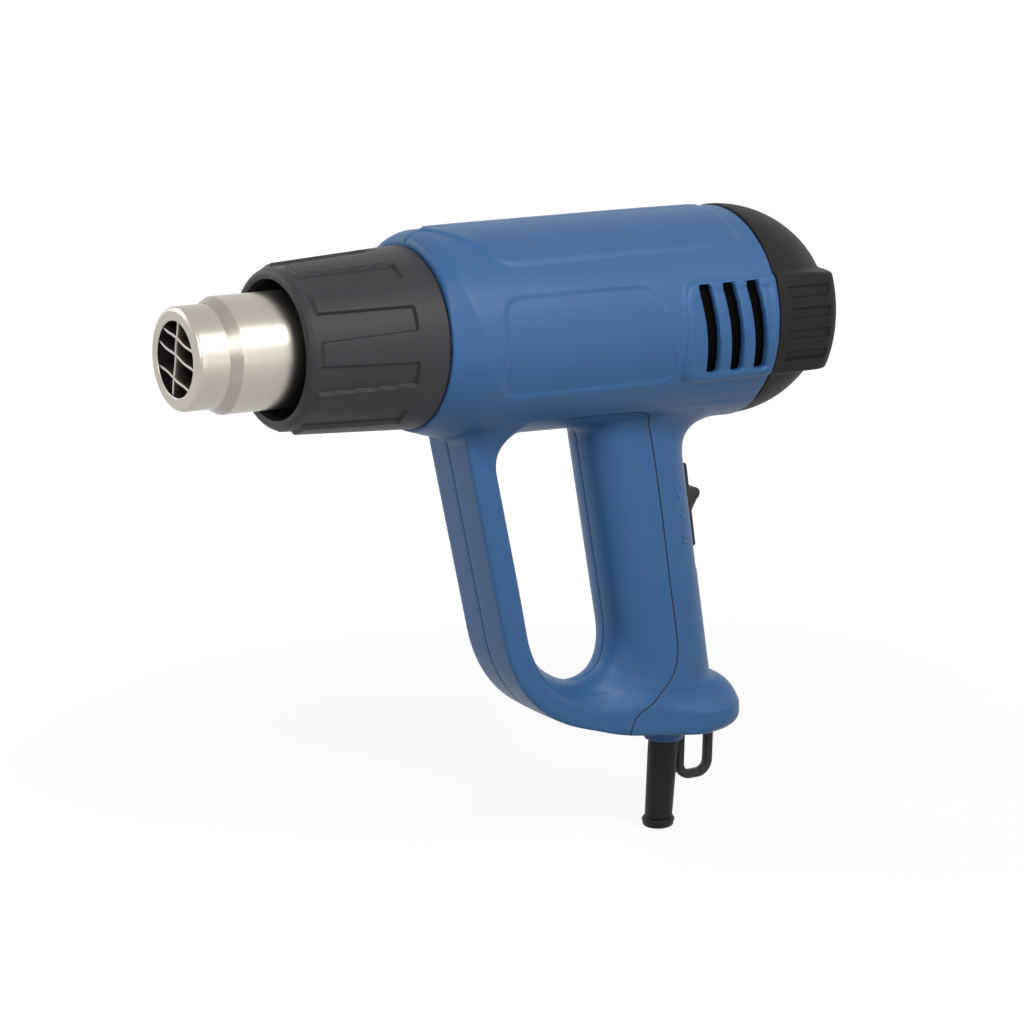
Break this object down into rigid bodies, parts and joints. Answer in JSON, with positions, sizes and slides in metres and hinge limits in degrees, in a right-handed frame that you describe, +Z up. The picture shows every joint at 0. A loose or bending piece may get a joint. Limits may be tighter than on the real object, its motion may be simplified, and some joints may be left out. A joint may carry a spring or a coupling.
{
  "type": "hot air gun",
  "caption": "Hand-held hot air gun with a blue clam-shell body and closed handle, a stepped steel nozzle in a black ribbed guard, a slide switch and a domed rear cap",
  "frame": {"origin": "the middle of the grip, where a hand closes round it, on the parting plane of the two housing halves", "axes": "the nozzle points along -X and the rear cap along +X, +Z is up with the barrel level, and the parting plane is y = 0"},
  "size_m": [0.2465, 0.076, 0.2257],
  "materials": {
    "blue_shell": "fine-grained satin moulding",
    "black_moulding": "fine-grained matt moulding",
    "sleeve_rubber": "smooth matt rubber",
    "nozzle_steel": "satin, brushed round the axis",
    "dark_steel": "dull plated steel",
    "mica": "matt insulating sheet and ceramic",
    "pale_moulding": "plain heat-proof moulding",
    "ferrite": "sintered, matt",
    "copper": "bare, satin",
    "electronics": "board lacquer",
    "lead_sleeve": "smooth insulation"
  },
  "bodies": {
    "housing": {"housing_left": "blue_shell", "housing_right": "blue_shell", "front_guard": "black_moulding", "rear_cap": "black_moulding", "hanging_loop": "black_moulding", "cord_clamp": "black_moulding", "cord_sleeve": "sleeve_rubber", "nozzle_tube": "nozzle_steel", "outlet_grid": "nozzle_steel", "housing_screw_1": "dark_steel", "housing_screw_2": "dark_steel", "housing_screw_3": "dark_steel", "housing_screw_4": "dark_steel", "clamp_screw_1": "dark_steel", "clamp_screw_2": "dark_steel", "flange_screw_1": "dark_steel", "flange_screw_2": "dark_steel", "flange_screw_3": "dark_steel", "motor_can": "dark_steel", "thermal_cutout": "dark_steel", "heater_coil": "dark_steel", "mica_sleeve": "mica", "mica_card_upright": "mica", "mica_card_level": "mica", "heater_base": "mica", "fan_duct": "pale_moulding", "motor_bracket": "pale_moulding", "end_bell": "pale_moulding", "switch_body": "pale_moulding", "magnet_upper": "ferrite", "magnet_lower": "ferrite", "brush_left": "ferrite", "brush_right": "ferrite", "bush_front": "copper", "bush_rear": "copper", "rectifier_board": "electronics", "capacitor": "electronics", "lead_supply": "lead_sleeve", "lead_motor": "lead_sleeve"},
    "switch": {"switch_slider": "black_moulding"},
    "rotor": {"fan": "black_moulding", "motor_shaft": "nozzle_steel", "armature": "dark_steel", "commutator": "copper"}
  },
  "joints": [
    {"name": "switch_slide", "type": "slide", "parent": "housing", "child": "switch", "axis": [-0.1714, 0, 0.9852], "range_m": [-0.0045, 0.0045]},
    {"name": "fan_spin", "type": "hinge", "parent": "housing", "child": "rotor", "pos_m": [-0.0443, 0, 0.082], "axis": [1, 0, 0], "continuous": true}
  ]
}
